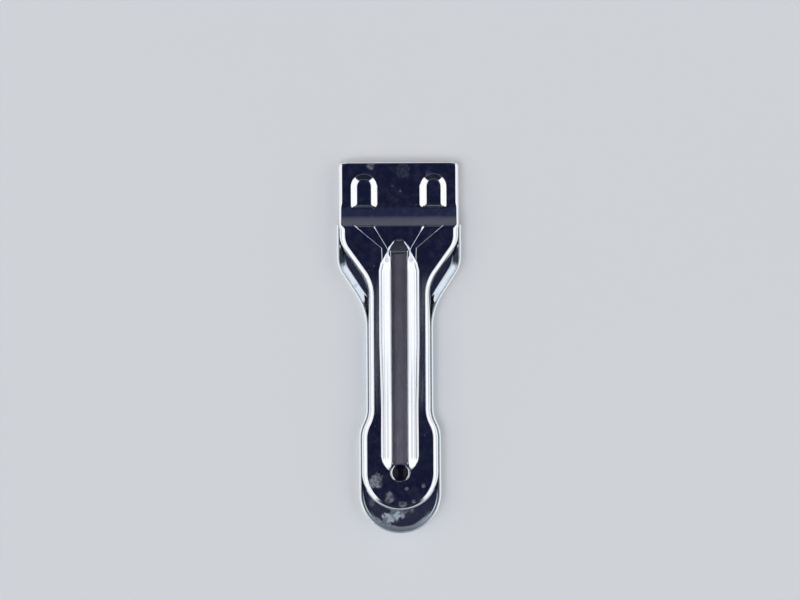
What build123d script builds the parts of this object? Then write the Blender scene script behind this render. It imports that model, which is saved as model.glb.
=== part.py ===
from build123d import *
import os
from math import atan2, sqrt, tan

# Ceramic hob scraper with a retracting blade guard, in millimetres.
# It lies on its back: X is across, Y runs from the handle's end to the blade, Z is up.
# The origin is in the middle of its length and width, on the surface it rests on.

# Overall sizes and the stroke of the guard
overall_length = 144.3
sheet = 0.7
stroke = 8.0

# Clearances
side_gap = 0.2
rim_gap = 0.25
slide_gap = 0.3
blade_gap = 0.3
plate_gap = 0.4
shoulder_play = 0.3
shank_gap = 0.05
overrun = 5.0

# Blade: the size that sets the width of the head
blade_width = 43.0
blade_side_gap = 1.0
head_width = blade_width + 2 * (blade_side_gap + sheet)
peg_inset = 8.0
peg_spacing = blade_width - 2 * peg_inset

# Cover, the upper pressing: its outline, the shoulder from the front and the neck from the eye
grip_width = 24.3
bulb_width = 30.0
shoulder_back = 31.45
shoulder_run = 15.4
neck_ahead = 25.05
neck_length = 12.1
neck_bend_share = 0.92
front_corner_radius = 1.8
shoulder_radius = 10.0
shoulder_blend = 15.0
# Cover: the rounding of its top edge along the head and along the body
head_edge_radius = 1.4
body_edge_radius = 2.6

# Cover: the step between the head plate and the higher body
step_height = 1.4
step_front_back = 17.5
step_knee_back = 20.7
step_crest_back = 24.9
knee_rise = 0.3
crest_radius = 1.0
knee_radius = 4.0

# Cover: the two raised channels on the head, and the low ribs that carry them on to the spine
channel_width = 10.3
channel_flank = 2.4
channel_rise = 1.3
channel_front_back = 4.25
channel_lead = 1.0
rib_start_shift = 0.3
rib_start_width = 7.6
rib_end_inset = 2.0
rib_end_width = 1.9
rib_flank = 0.6
rib_rise = 0.6

# Cover: the spine, a raised ridge down the middle with a slot along its top
spine_rise = 2.4
spine_margin = 4.25
spine_width = grip_width - 2 * spine_margin
spine_shoulder_inset = 0.8
spine_nose_width = 4.0
spine_nose_back = 30.05
spine_nose_run = 4.1
spine_shoulder_run = 8.0
spine_tail_ahead = 5.45
slot_width = 6.2
slot_flange = 0.9
slot_cap = 0.5
eye_lip = 0.55
eye_diameter = slot_width + 2 * eye_lip
spine_top_width = slot_width + 2 * slot_flange

# Cover: the turned-in lips that hook under the runner plate
lip_width = 2.0
grip_lip_front_gap = 7.15
grip_lip_tail_gap = 1.8
head_lip_length = 17.0
head_lip_back = 6.0

# Tray, the lower pressing
tray_depth = 4.6
tray_bend_radius = 2.7
tray_wall_front_back = 24.15
tray_shoulder_run = 17.1
tray_shoulder_blend = 24.0
tongue_setback = 0.8
tongue_back = 11.5
tongue_corner_radius = 3.0

# Runner plate, the flat plate that the cover's lips slide under, and the seat of the blade
plate_sheet = 0.7
plate_setback = 0.2
seat_back = 9.8
plate_tail_gap = 5.55
plate_tail_radius = 5.0

# Blade and the two pegs that hold it
blade_depth = 22.0
blade_thickness = 0.4
blade_back = 0.8
blade_grind = 1.2
blade_edge_thickness = 0.06
peg_diameter = 3.5
peg_stand = 1.0
peg_flange_diameter = 5.5
peg_flange_height = 0.4
peg_round = 0.4
peg_behind_edge = 16.85

# Rivets that hold the runner plate to the tray, each through a spacer
rivet_diameter = 3.0
rivet_head_diameter = 5.0
rivet_head_height = 0.4
rivet_foot_diameter = 4.4
spacer_diameter = 6.0
head_rivet_inset = 6.0
head_rivet_spacing = blade_width - 2 * head_rivet_inset
head_rivet_back = 29.15
grip_rivet_back = 44.15
tail_rivet_inset = 7.65

# Lock bar, the leaf spring under the slot
bar_thickness = 0.6
bar_cover = 0.9
bar_lift = 0.6
bar_foot_back = 29.65
bar_foot_length = 5.0
bar_bend_run = 1.5
collar_gap = 0.15
collar_chamfer = 0.25
release_gap = 0.4
bar_rivet_diameter = 2.0
bar_rivet_spacing = 4.4
bar_rivet_head_diameter = 3.2
bar_rivet_head_height = 0.3

# Lock button, the thumb button at the slot's rear end
button_gap = 0.2
press_travel = 1.7
button_stand = 0.5
button_dome = 0.9
button_tail_diameter = 4.4
button_tail_height = 0.4
button_stem_diameter = 3.0

# Levels above the resting surface
floor_top = sheet
tray_bend_inner = tray_bend_radius - sheet
bend_height = tray_bend_inner - sqrt(tray_bend_inner**2 - (tray_bend_inner - side_gap) ** 2)
cover_rim = floor_top + bend_height + rim_gap
plate_bottom = cover_rim + sheet + slide_gap
plate_top = plate_bottom + plate_sheet
blade_top = plate_top + blade_thickness
head_ceiling = blade_top + blade_gap
head_top = head_ceiling + sheet
body_top = head_top + step_height
body_ceiling = body_top - sheet
spine_top = body_top + spine_rise
bar_bottom = plate_top + bar_thickness + bar_lift
bar_top = bar_bottom + bar_thickness
collar_top = body_ceiling + press_travel - release_gap
button_top = spine_top + button_stand

# Places along Y
front = overall_length / 2
tray_margin = side_gap + sheet
tray_end_centre = -overall_length / 2 + bulb_width / 2 + tray_margin
eye_y = tray_end_centre + stroke
shoulder_y = front - shoulder_back
shoulder_end_y = shoulder_y - shoulder_run

# The neck is an S of two arcs, given here as the corners and the radius of a bent line
neck_step = (bulb_width - grip_width) / 2
neck_arc = (neck_length**2 + neck_step**2) / (4 * neck_step)
neck_turn = 2 * atan2(neck_step, neck_length)
neck_corner = neck_arc * tan(neck_turn / 2)
neck_y = eye_y + neck_ahead - neck_corner
neck_end_y = eye_y + neck_ahead - neck_length + neck_corner
neck_radius = neck_bend_share * neck_arc

# Outline of each pressing, as half widths and places, right side
cover_plan = {
    "head": head_width / 2,
    "grip": grip_width / 2,
    "bulb": bulb_width / 2,
    "shoulder": shoulder_y,
    "shoulder_end": shoulder_end_y,
    "neck": neck_y,
    "neck_end": neck_end_y,
    "centre": eye_y,
    "radii": (shoulder_radius, shoulder_blend, neck_radius, neck_radius),
}

shoulder_drop = tray_margin * tan(atan2((head_width - grip_width) / 2, shoulder_run) / 2)
neck_drop = tray_margin * tan(neck_turn / 2)
tray_shoulder = shoulder_y - stroke - shoulder_drop - shoulder_play
tray_plan = {
    "head": head_width / 2 + tray_margin,
    "grip": grip_width / 2 + tray_margin,
    "bulb": bulb_width / 2 + tray_margin,
    "shoulder": tray_shoulder,
    "shoulder_end": tray_shoulder - tray_shoulder_run,
    "neck": neck_y + neck_drop,
    "neck_end": neck_end_y + neck_drop,
    "centre": tray_end_centre,
    "radii": (
        shoulder_radius + tray_margin,
        tray_shoulder_blend,
        neck_radius - tray_margin,
        neck_radius + tray_margin,
    ),
}


def plane_across(y):
    """A plane across the object at one place along its length, drawn as X and Z."""
    return Plane(origin=(0, y, 0), x_dir=(1, 0, 0), z_dir=(0, -1, 0))


def pressing_face(plan, front_y, z, inset=0, corner=0):
    """The T-shaped outline of a pressing, drawn in by an inset, as a face at one height."""
    right = [
        (plan["bulb"], plan["centre"]),
        (plan["bulb"], plan["neck_end"]),
        (plan["grip"], plan["neck"]),
        (plan["grip"], plan["shoulder_end"]),
        (plan["head"], plan["shoulder"]),
        (plan["head"], front_y),
    ]
    left = [(-x, y) for x, y in reversed(right)]
    shoulder_in, shoulder_out, neck_in, neck_out = plan["radii"]
    right_radii = [neck_out, neck_in, shoulder_out, shoulder_in, corner]
    with BuildSketch(Plane.XY.offset(z)) as face:
        with BuildLine():
            FilletPolyline(*right, *left, radius=right_radii + right_radii[::-1])
            CenterArc((0, plan["centre"]), plan["bulb"], 180, 90)
            CenterArc((0, plan["centre"]), plan["bulb"], 270, 90)
        make_face()
        if inset > 0:
            offset(amount=-inset, mode=Mode.REPLACE)
    return face.sketch


def cover_block(inset, edge_radius, rear_y):
    """The cover's solid form behind its front edge, drawn in by an inset, top edge rounded."""
    long_front = front + 2 * overrun
    low = cover_rim - overrun
    profile = [
        (-front, low),
        (-front, body_top - inset),
        (front - step_crest_back, body_top - inset),
        (front - step_knee_back, head_top + knee_rise - inset),
        (front - step_front_back, head_top - inset),
        (long_front, head_top - inset),
        (long_front, low),
    ]
    with BuildPart() as block:
        extrude(pressing_face(cover_plan, long_front, low, inset), amount=spine_top - low)
        with BuildSketch(Plane.YZ):
            with BuildLine():
                FilletPolyline(*profile[1:6], radius=[crest_radius, knee_radius, knee_radius])
                Polyline(profile[5], profile[6], profile[0], profile[1])
            make_face()
        extrude(amount=head_width, both=True, mode=Mode.INTERSECT)
        with BuildSketch(Plane.XY.offset(low)):
            with Locations((0, (rear_y + long_front) / 2)):
                Rectangle(2 * head_width, long_front - rear_y)
        extrude(amount=spine_top - low, mode=Mode.INTERSECT)
        high = block.edges().filter_by(lambda e: e.center().Z > head_top - 2 * sheet)
        sides = high.filter_by(lambda e: abs(e.center().X) > grip_width / 4)
        along = sides.filter_by(lambda e: abs(e.tangent_at(0.5).X) < 1 - sheet / front)
        fillet(along, radius=edge_radius - inset)
    return block.part


spine_nose_y = front - spine_nose_back
spine_shoulder_y = spine_nose_y - spine_nose_run
spine_full_y = spine_shoulder_y - spine_shoulder_run
spine_tail_y = eye_y + spine_tail_ahead


def channel_section(y, centre, base_half, base_z, top_half, top_z, low):
    """One cross-section of a raised channel: sloping flanks on straight skirts."""
    points = [
        (centre - base_half, low),
        (centre - base_half, base_z),
        (centre - top_half, top_z),
        (centre + top_half, top_z),
        (centre + base_half, base_z),
        (centre + base_half, low),
    ]
    with BuildSketch(plane_across(y)) as section:
        with BuildLine():
            Polyline(*points, close=True)
        make_face()
    return section.sketch


def channel_block(inset):
    """The right-hand raised channel and the low rib that carries it on, drawn in by an inset."""
    flank_in = inset * tan(atan2(channel_rise, channel_flank) / 2)
    rib_in = inset * tan(atan2(rib_rise, rib_flank) / 2)
    centre = peg_spacing / 2
    base = channel_width / 2 - flank_in
    top = channel_width / 2 - channel_flank - flank_in
    nose_y = front - channel_front_back - channel_width / 2
    lead_y = front - step_front_back + channel_lead
    crest_y = front - step_crest_back + channel_lead
    end_y = spine_shoulder_y
    low = head_top - inset - sheet
    start_centre = centre - rib_start_shift
    end_centre = spine_width / 2 - rib_end_inset
    rib_base = rib_start_width / 2 - rib_in
    end_base = rib_end_width / 2 - rib_in
    head_low = head_top - inset
    head_high = head_low + channel_rise
    body_low = body_top - inset
    body_high = body_low + rib_rise
    with BuildPart() as block:
        with Locations((centre, nose_y, head_low)):
            Cone(base, top, channel_rise, align=(Align.CENTER, Align.CENTER, Align.MIN))
            Cylinder(base, sheet, align=(Align.CENTER, Align.CENTER, Align.MAX))
        sections = [
            channel_section(nose_y, centre, base, head_low, top, head_high, low),
            channel_section(lead_y, centre, base, head_low, top, head_high, low),
            channel_section(
                crest_y, start_centre, rib_base, body_low, rib_base - rib_flank, body_high, low
            ),
            channel_section(
                end_y, end_centre, end_base, body_low, end_base - rib_flank, body_high, low
            ),
        ]
        for near, far in zip(sections, sections[1:]):
            loft(sections=[near, far], ruled=True)
        mirror(about=Plane.YZ)
    return block.part


def spine_face(z, half, shoulder_half, nose_half, nose_y, shoulder_place):
    """The outline of the spine at one level: a nose toward the blade and a round tail."""
    right = [
        (half, spine_tail_y),
        (half, spine_full_y),
        (shoulder_half, shoulder_place),
        (nose_half, nose_y),
    ]
    left = [(-x, y) for x, y in reversed(right)]
    with BuildSketch(Plane.XY.offset(z)) as face:
        with BuildLine():
            Polyline(*right, *left)
            CenterArc((0, spine_tail_y), half, 180, 180)
        make_face()
    return face.sketch


def spine_block(inset):
    """The ridge down the middle of the cover, drawn in by an inset."""
    flank_run = (spine_width - spine_top_width) / 2
    flank_in = inset * tan(atan2(spine_rise, flank_run) / 2)
    base_half = spine_width / 2 - flank_in
    top_half = spine_top_width / 2 - flank_in
    base = spine_face(
        body_top - inset,
        base_half,
        base_half - spine_shoulder_inset,
        spine_nose_width / 2 - flank_in,
        spine_nose_y - flank_in,
        spine_shoulder_y - flank_in,
    )
    top = spine_face(
        spine_top - inset,
        top_half,
        top_half - slot_flange / 4,
        top_half - slot_flange / 2,
        spine_shoulder_y - flank_in,
        spine_shoulder_y - sheet - flank_in,
    )
    with BuildPart() as block:
        loft(sections=[base, top], ruled=True)
    return block.part


def cover_form(inset):
    """The whole outer form of the cover, or its cavity when drawn in by the sheet."""
    body = cover_block(inset, body_edge_radius, -front - overrun)
    head = cover_block(inset, head_edge_radius, front - step_front_back)
    with BuildPart() as form:
        add(body)
        add(head)
        add(channel_block(inset))
        add(spine_block(inset))
    return form.part


def lip_strip(lip_front, lip_rear):
    """Both lips along one stretch of the cover's side walls."""
    with BuildPart() as strip:
        with BuildSketch(Plane.XY.offset(cover_rim)):
            add(pressing_face(cover_plan, front, 0, sheet / 2, front_corner_radius))
            add(pressing_face(cover_plan, front + overrun, 0, sheet + lip_width), mode=Mode.SUBTRACT)
            with Locations((0, (lip_front + lip_rear) / 2)):
                Rectangle(2 * head_width, lip_front - lip_rear, mode=Mode.INTERSECT)
        extrude(amount=sheet)
    return strip.part


# Cover: the upper pressing, which slides back to bare the blade
slot_front = spine_shoulder_y - slot_cap
plate_rear = eye_y + neck_ahead + plate_tail_gap
grip_lip_front = shoulder_end_y - grip_lip_front_gap
head_lip_front = front - head_lip_back
outer_form = cover_form(0)
cavity_form = cover_form(sheet)
trim_face = pressing_face(cover_plan, front, cover_rim, 0, front_corner_radius)
with BuildPart() as cover:
    add(outer_form)
    extrude(trim_face, amount=spine_top, mode=Mode.INTERSECT)
    add(cavity_form, mode=Mode.SUBTRACT)
    add(lip_strip(grip_lip_front, plate_rear + grip_lip_tail_gap))
    add(lip_strip(head_lip_front, head_lip_front - head_lip_length))
    with BuildSketch(Plane.XY.offset(body_ceiling - sheet)):
        with Locations((0, (slot_front + eye_y) / 2)):
            Rectangle(slot_width, slot_front - eye_y)
        with Locations((0, eye_y)):
            Circle(eye_diameter / 2)
    extrude(amount=spine_top, mode=Mode.SUBTRACT)
cover.part.label = "cover_shell"


def tray_form(inset, wall_front):
    """The tray's filled form, drawn in by an inset, open upward when it is the cavity."""
    lift = inset
    with BuildPart() as form:
        extrude(pressing_face(tray_plan, wall_front, lift, inset), amount=tray_depth + inset)
        low = form.edges().filter_by(lambda e: e.center().Z < lift + sheet / 2)
        along = low.filter_by(lambda e: e.center().Y < wall_front - 2 * sheet)
        fillet(along, radius=tray_bend_radius - inset)
    return form.part


# Rivets: places of the four that join the tray, the spacers and the runner plate
rivet_places = {
    "head_left": (-head_rivet_spacing / 2, front - head_rivet_back),
    "head_right": (head_rivet_spacing / 2, front - head_rivet_back),
    "grip_front": (0, front - grip_rivet_back),
    "grip_rear": (0, plate_rear + tail_rivet_inset),
}

# Tray: the lower pressing, the fixed half that the hand and the work push against
wall_front = front - tray_wall_front_back
tongue_front = front - tongue_back
tongue_width = blade_width - 2 * tongue_setback
tongue_length = tongue_front - wall_front + 2 * tray_bend_radius
with BuildPart() as tray:
    add(tray_form(0, wall_front + overrun))
    add(tray_form(sheet, wall_front + 3 * overrun), mode=Mode.SUBTRACT)
    with BuildSketch():
        with Locations((0, wall_front - front)):
            Rectangle(2 * head_width, 2 * front)
    extrude(amount=tray_depth, mode=Mode.INTERSECT)
    with BuildSketch() as tongue:
        with Locations((0, tongue_front - tongue_length / 2)):
            Rectangle(tongue_width, tongue_length)
        fillet(tongue.vertices().group_by(Axis.Y)[-1], radius=tongue_corner_radius)
    extrude(amount=sheet)
    with Locations([(x, y, 0) for x, y in rivet_places.values()]):
        Cone(
            rivet_foot_diameter / 2 + shank_gap,
            rivet_diameter / 2 + shank_gap,
            sheet,
            align=(Align.CENTER, Align.CENTER, Align.MIN),
            mode=Mode.SUBTRACT,
        )
tray.part.label = "tray"

# Runner plate: carries the blade at its front and guides the cover's lips along its sides
plate_front = front - seat_back
bar_foot_front = front - bar_foot_back
bar_rivet_y = bar_foot_front - bar_foot_length / 2
peg_y = plate_front - peg_behind_edge + seat_back
plate_width = blade_width - 2 * plate_setback
plate_face = pressing_face(cover_plan, front + overrun, 0, sheet + plate_gap)
with BuildPart() as runner_plate:
    with BuildSketch(Plane.XY.offset(plate_bottom)) as plate_plan:
        add(plate_face)
        with Locations((0, (plate_front + plate_rear) / 2)):
            Rectangle(plate_width, plate_front - plate_rear, mode=Mode.INTERSECT)
        rear_corners = plate_plan.vertices().group_by(Axis.Y)[0]
        fillet(rear_corners, radius=plate_tail_radius)
        with Locations(*rivet_places.values()):
            Circle(rivet_diameter / 2 + shank_gap, mode=Mode.SUBTRACT)
        with Locations((-peg_spacing / 2, peg_y), (peg_spacing / 2, peg_y)):
            Circle(peg_diameter / 2 + shank_gap, mode=Mode.SUBTRACT)
        with Locations((-bar_rivet_spacing / 2, bar_rivet_y), (bar_rivet_spacing / 2, bar_rivet_y)):
            Circle(bar_rivet_diameter / 2 + shank_gap, mode=Mode.SUBTRACT)
    extrude(amount=plate_sheet)
runner_plate.part.label = "runner_plate"

# Blade: a flat steel strip with one ground edge and two peg holes
blade_front = front - blade_back
with BuildPart() as blade:
    blade_profile = [
        (blade_front - blade_depth, plate_top),
        (blade_front, plate_top),
        (blade_front, plate_top + blade_edge_thickness),
        (blade_front - blade_grind, blade_top),
        (blade_front - blade_depth, blade_top),
    ]
    with BuildSketch(Plane.YZ):
        with BuildLine():
            Polyline(*blade_profile, close=True)
        make_face()
    extrude(amount=blade_width / 2, both=True)
    with BuildSketch(Plane.XY.offset(plate_top)):
        with Locations((-peg_spacing / 2, peg_y), (peg_spacing / 2, peg_y)):
            Circle(peg_diameter / 2 + shank_gap)
    extrude(amount=blade_thickness, mode=Mode.SUBTRACT)
blade.part.label = "blade"


def blade_peg(x):
    """A peg riveted into the runner plate, flanged below it, standing through the blade."""
    with BuildPart() as peg:
        with BuildSketch(Plane.XY.offset(plate_bottom)):
            with Locations((x, peg_y)):
                Circle(peg_diameter / 2)
        extrude(amount=plate_sheet + blade_thickness + peg_stand)
        fillet(peg.edges().group_by(Axis.Z)[-1], radius=peg_round)
        with BuildSketch(Plane.XY.offset(plate_bottom)):
            with Locations((x, peg_y)):
                Circle(peg_flange_diameter / 2)
        extrude(amount=-peg_flange_height)
    return peg.part


def tray_rivet(x, y):
    """A rivet with a flush conical foot in the tray and a low head on the runner plate."""
    with BuildPart() as rivet:
        with Locations((x, y, 0)):
            Cone(
                rivet_foot_diameter / 2,
                rivet_diameter / 2,
                sheet,
                align=(Align.CENTER, Align.CENTER, Align.MIN),
            )
            Cylinder(
                rivet_diameter / 2, plate_top, align=(Align.CENTER, Align.CENTER, Align.MIN)
            )
        with Locations((x, y, plate_top)):
            Cylinder(
                rivet_head_diameter / 2,
                rivet_head_height,
                align=(Align.CENTER, Align.CENTER, Align.MIN),
            )
        chamfer(rivet.edges().group_by(Axis.Z)[-1], length=rivet_head_height / 2)
    return rivet.part


def spacer(x, y):
    """A tube that holds the runner plate at its height above the tray."""
    with BuildPart() as tube:
        with BuildSketch(Plane.XY.offset(floor_top)):
            with Locations((x, y)):
                Circle(spacer_diameter / 2)
                Circle(rivet_diameter / 2 + shank_gap, mode=Mode.SUBTRACT)
        extrude(amount=plate_bottom - floor_top)
    return tube.part


def bar_rivet(x):
    """A small rivet that holds the lock bar's foot to the runner plate."""
    with BuildPart() as rivet:
        with BuildSketch(Plane.XY.offset(plate_bottom - bar_rivet_head_height)):
            with Locations((x, bar_rivet_y)):
                Circle(bar_rivet_head_diameter / 2)
        extrude(amount=bar_rivet_head_height)
        with BuildSketch(Plane.XY.offset(plate_bottom)):
            with Locations((x, bar_rivet_y)):
                Circle(bar_rivet_diameter / 2)
        extrude(amount=plate_sheet + bar_thickness)
        with BuildSketch(Plane.XY.offset(plate_top + bar_thickness)):
            with Locations((x, bar_rivet_y)):
                Circle(bar_rivet_head_diameter / 2)
        extrude(amount=bar_rivet_head_height)
    return rivet.part


# Lock bar: a leaf spring riveted down at its front, with a raised collar that locks in the eye
bar_width = slot_width + 2 * bar_cover
bar_tail_radius = bar_width / 2
bar_rear = eye_y - bar_tail_radius
bend_start = bar_foot_front - bar_foot_length
bend_end = bend_start - bar_bend_run
collar_radius = eye_diameter / 2 - collar_gap
button_radius = slot_width / 2 - button_gap
with BuildPart() as lock_bar:
    bar_profile = [
        (bar_foot_front, plate_top),
        (bar_foot_front, plate_top + bar_thickness),
        (bend_start, plate_top + bar_thickness),
        (bend_end, bar_top),
        (bar_rear, bar_top),
        (bar_rear, bar_bottom),
        (bend_end, bar_bottom),
        (bend_start, plate_top),
    ]
    with BuildSketch(Plane.YZ):
        with BuildLine():
            Polyline(*bar_profile, close=True)
        make_face()
    extrude(amount=bar_width / 2, both=True)
    tail_edges = lock_bar.edges().filter_by(Axis.Z).group_by(Axis.Y)[0]
    fillet(tail_edges, radius=bar_tail_radius - sheet / 2)
    with BuildSketch(Plane.XY.offset(bar_top)):
        with Locations((0, eye_y)):
            Circle(collar_radius)
    extrude(amount=collar_top - bar_top)
    chamfer(lock_bar.edges().group_by(Axis.Z)[-1], length=collar_chamfer)
    with BuildSketch(Plane.XY.offset(bar_bottom)):
        with Locations((0, eye_y)):
            Circle(button_stem_diameter / 2 + shank_gap)
        with Locations((-bar_rivet_spacing / 2, bar_rivet_y), (bar_rivet_spacing / 2, bar_rivet_y)):
            Circle(bar_rivet_diameter / 2 + shank_gap)
    extrude(amount=-bar_bottom, mode=Mode.SUBTRACT)
    with BuildSketch(Plane.XY.offset(bar_bottom)):
        with Locations((0, eye_y)):
            Circle(button_stem_diameter / 2 + shank_gap)
    extrude(amount=bar_thickness, mode=Mode.SUBTRACT)
    with BuildSketch(Plane.XY.offset(bar_top)):
        with Locations((0, eye_y)):
            Circle(button_radius + shank_gap)
    extrude(amount=collar_top - bar_top, mode=Mode.SUBTRACT)
lock_bar.part.label = "lock_bar"

# Lock button: a domed button on a stem through the lock bar, clinched below it
with BuildPart() as lock_button:
    stem_radius = button_stem_diameter / 2
    tail_radius = button_tail_diameter / 2
    tail_bottom = bar_bottom - button_tail_height
    dome_base = button_top - button_dome
    with BuildSketch(plane_across(eye_y)):
        with BuildLine():
            Polyline(
                (0, button_top),
                (0, tail_bottom),
                (tail_radius, tail_bottom),
                (tail_radius, bar_bottom),
                (stem_radius, bar_bottom),
                (stem_radius, bar_top),
                (button_radius, bar_top),
                (button_radius, dome_base),
            )
            dome_radius = (button_radius**2 + button_dome**2) / (2 * button_dome)
            RadiusArc((button_radius, dome_base), (0, button_top), -dome_radius)
        make_face()
    revolve(axis=Axis((0, eye_y, 0), (0, 0, 1)))
lock_button.part.label = "lock_button"

pieces = {
    "cover_shell": cover.part,
    "tray": tray.part,
    "runner_plate": runner_plate.part,
    "blade": blade.part,
    "lock_bar": lock_bar.part,
    "lock_button": lock_button.part,
    "blade_peg_left": blade_peg(-peg_spacing / 2),
    "blade_peg_right": blade_peg(peg_spacing / 2),
    "bar_rivet_left": bar_rivet(-bar_rivet_spacing / 2),
    "bar_rivet_right": bar_rivet(bar_rivet_spacing / 2),
}
for place, (x, y) in rivet_places.items():
    pieces[f"tray_rivet_{place}"] = tray_rivet(x, y)
    pieces[f"spacer_{place}"] = spacer(x, y)

os.makedirs("parts", exist_ok=True)
for name, piece in pieces.items():
    piece.label = name
    export_step(piece, f"parts/{name}.step")
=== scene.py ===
from math import asin, atan2, cos, hypot, pi, radians, sin, sqrt, tan

import bpy
import numpy as np
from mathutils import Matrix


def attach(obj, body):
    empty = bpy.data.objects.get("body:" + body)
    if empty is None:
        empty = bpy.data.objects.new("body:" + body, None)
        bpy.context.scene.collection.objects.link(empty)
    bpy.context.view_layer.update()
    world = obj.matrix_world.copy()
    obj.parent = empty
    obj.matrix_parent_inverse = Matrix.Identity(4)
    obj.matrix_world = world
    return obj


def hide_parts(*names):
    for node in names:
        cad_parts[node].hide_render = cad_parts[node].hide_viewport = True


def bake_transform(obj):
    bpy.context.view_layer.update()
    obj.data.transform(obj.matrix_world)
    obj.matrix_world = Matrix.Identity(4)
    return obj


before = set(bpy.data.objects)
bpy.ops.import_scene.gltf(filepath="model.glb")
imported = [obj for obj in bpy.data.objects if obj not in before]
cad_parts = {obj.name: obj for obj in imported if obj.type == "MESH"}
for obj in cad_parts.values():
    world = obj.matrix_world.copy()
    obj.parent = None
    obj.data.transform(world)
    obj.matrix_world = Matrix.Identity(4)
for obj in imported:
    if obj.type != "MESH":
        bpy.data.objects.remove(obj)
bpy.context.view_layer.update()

# Ceramic hob scraper: what is seen of it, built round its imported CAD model.
# Lengths are in millimetres up to the point where a mesh gets them in metres.
MM = 0.001
close = 1e-6

# Sizes, from the middle line and from the middle of the length
front = 72.15
sheet = 0.7
head_half = 23.2
grip_half = 12.15
bulb_half = 15.0
eye_y = -48.25
tray_head_half = 24.1
tray_grip_half = 13.05
tray_end_half = 15.9
tray_end_y = -56.25

# Levels, from the surface that the tray rests on
rim_z = 2.078
head_z = 5.178
knee_z = 5.478
body_z = 6.578
spine_z = 8.978
floor_z = 0.7
tray_rim_z = 4.6

# Places along the cover
step_front_y = 54.65
knee_y = 51.45
crest_y = 47.25
channel_nose_y = 62.75
channel_lead_y = 55.65
rib_start_y = 48.25
rib_turn_y = 38.8
rib_end_y = 33.0
spine_nose_y = 42.2
spine_nose_run = 6.5
spine_full_y = 30.0
spine_taper_y = 2.0
spine_narrow_y = -22.0
spine_tail_y = -41.7
slot_front_y = 37.5

slot_half = 3.1
eye_radius = 3.65
slot_eye_y = eye_y + sqrt(eye_radius**2 - slot_half**2)

# How far the bends of the step are rounded along the cover
crest_bend = 0.16
knee_bend = 1.3
step_bend = 0.4

# The spine's crown, and the foot, bead and fine fluting of its flank
crown_slope = 0.24
foot_slope = 0.8
bead_rise = 0.5
bead_width = 1.7
flute_depth = 0.012
flute_pitch = 1.25

# Radii of the cover's edges
head_rounding = 1.4
step_rounding = 0.95
body_rounding = 2.6
front_corner = 1.8
slot_rounding = 0.3
slot_front_rounding = 0.46
eye_rounding = 0.36
front_rounding = 0.55
corner_rounding = 0.6

# Lips turned in under the cover's rim, from their front end to their rear end
lip_bend = 0.9
lip_reach = 2.7
grip_lip = (18.15, -15.85)
head_lip = (66.15, 49.15)
relief = 0.3

# Insets of the lines where the flat of each pressing ends
cover_inset = 3.0
tray_inset = 4.2

# Outlines, right side: corners from the front to the handle's end, and their radii
cover_corners = [
    (head_half, front), (head_half, 40.7), (grip_half, 25.3),
    (grip_half, -26.386), (bulb_half, -32.114), (bulb_half, eye_y),
]
cover_radii = [10.0, 15.0, 12.47, 12.47]
tray_corners = [
    (tray_head_half, front), (tray_head_half, 32.11), (tray_grip_half, 15.01),
    (tray_grip_half, -26.18), (tray_end_half, -31.91), (tray_end_half, tray_end_y),
]
tray_radii = [10.9, 24.0, 11.57, 13.37]

# Distances of the mesh's rows from an edge that is rolled over, and from the front
edge_steps = (0.07, 0.15, 0.24, 0.34, 0.46)
front_steps = (0.06, 0.13, 0.22, 0.34, 0.5, 0.75)


# Outlines
def outline(corners, radii):
    """The right side of a pressing as straight runs and arcs, each with its outward normal."""
    pieces = []
    start = np.array(corners[0], float)
    for k, radius in enumerate(radii):
        corner = np.array(corners[k + 1], float)
        come = corner - np.array(corners[k], float)
        go = np.array(corners[k + 2], float) - corner
        come, go = come / hypot(*come), go / hypot(*go)
        side = 1 if come[0] * go[1] - come[1] * go[0] < 0 else -1
        turn = np.arccos(np.clip(come @ go, -1, 1))
        reach = radius * tan(turn / 2)
        first, last = corner - come * reach, corner + go * reach
        normal = np.array((-come[1], come[0]))
        angle = atan2(normal[1], normal[0])
        pieces.append(("run", start, first, normal))
        centre = first - side * radius * normal
        pieces.append(("arc", centre, side * radius, angle, angle - side * turn))
        start = last
    end = np.array(corners[-1], float)
    pieces.append(("run", start, end, np.array((1.0, 0.0))))
    pieces.append(("arc", np.array((0.0, end[1])), end[0], 0.0, -pi / 2))
    return pieces


def edge_station(pieces, y, inset):
    """The outline's point and outward normal where the line drawn in by inset passes y."""
    for piece in pieces:
        if piece[0] == "run":
            _, a, b, normal = piece
            high, low = a[1] - inset * normal[1], b[1] - inset * normal[1]
            if high + close >= y >= low - close:
                t = 0 if high == low else (high - y) / (high - low)
                return a + t * (b - a), normal
        else:
            _, centre, radius, first, last = piece
            bent = radius - inset
            high, low = centre[1] + bent * sin(first), centre[1] + bent * sin(last)
            if high + close >= y >= low - close:
                angle = -asin(np.clip((centre[1] - y) / bent, -1, 1))
                normal = np.array((cos(angle), sin(angle)))
                return centre + radius * normal, normal
    raise ValueError(f"no outline at {y}")


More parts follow.
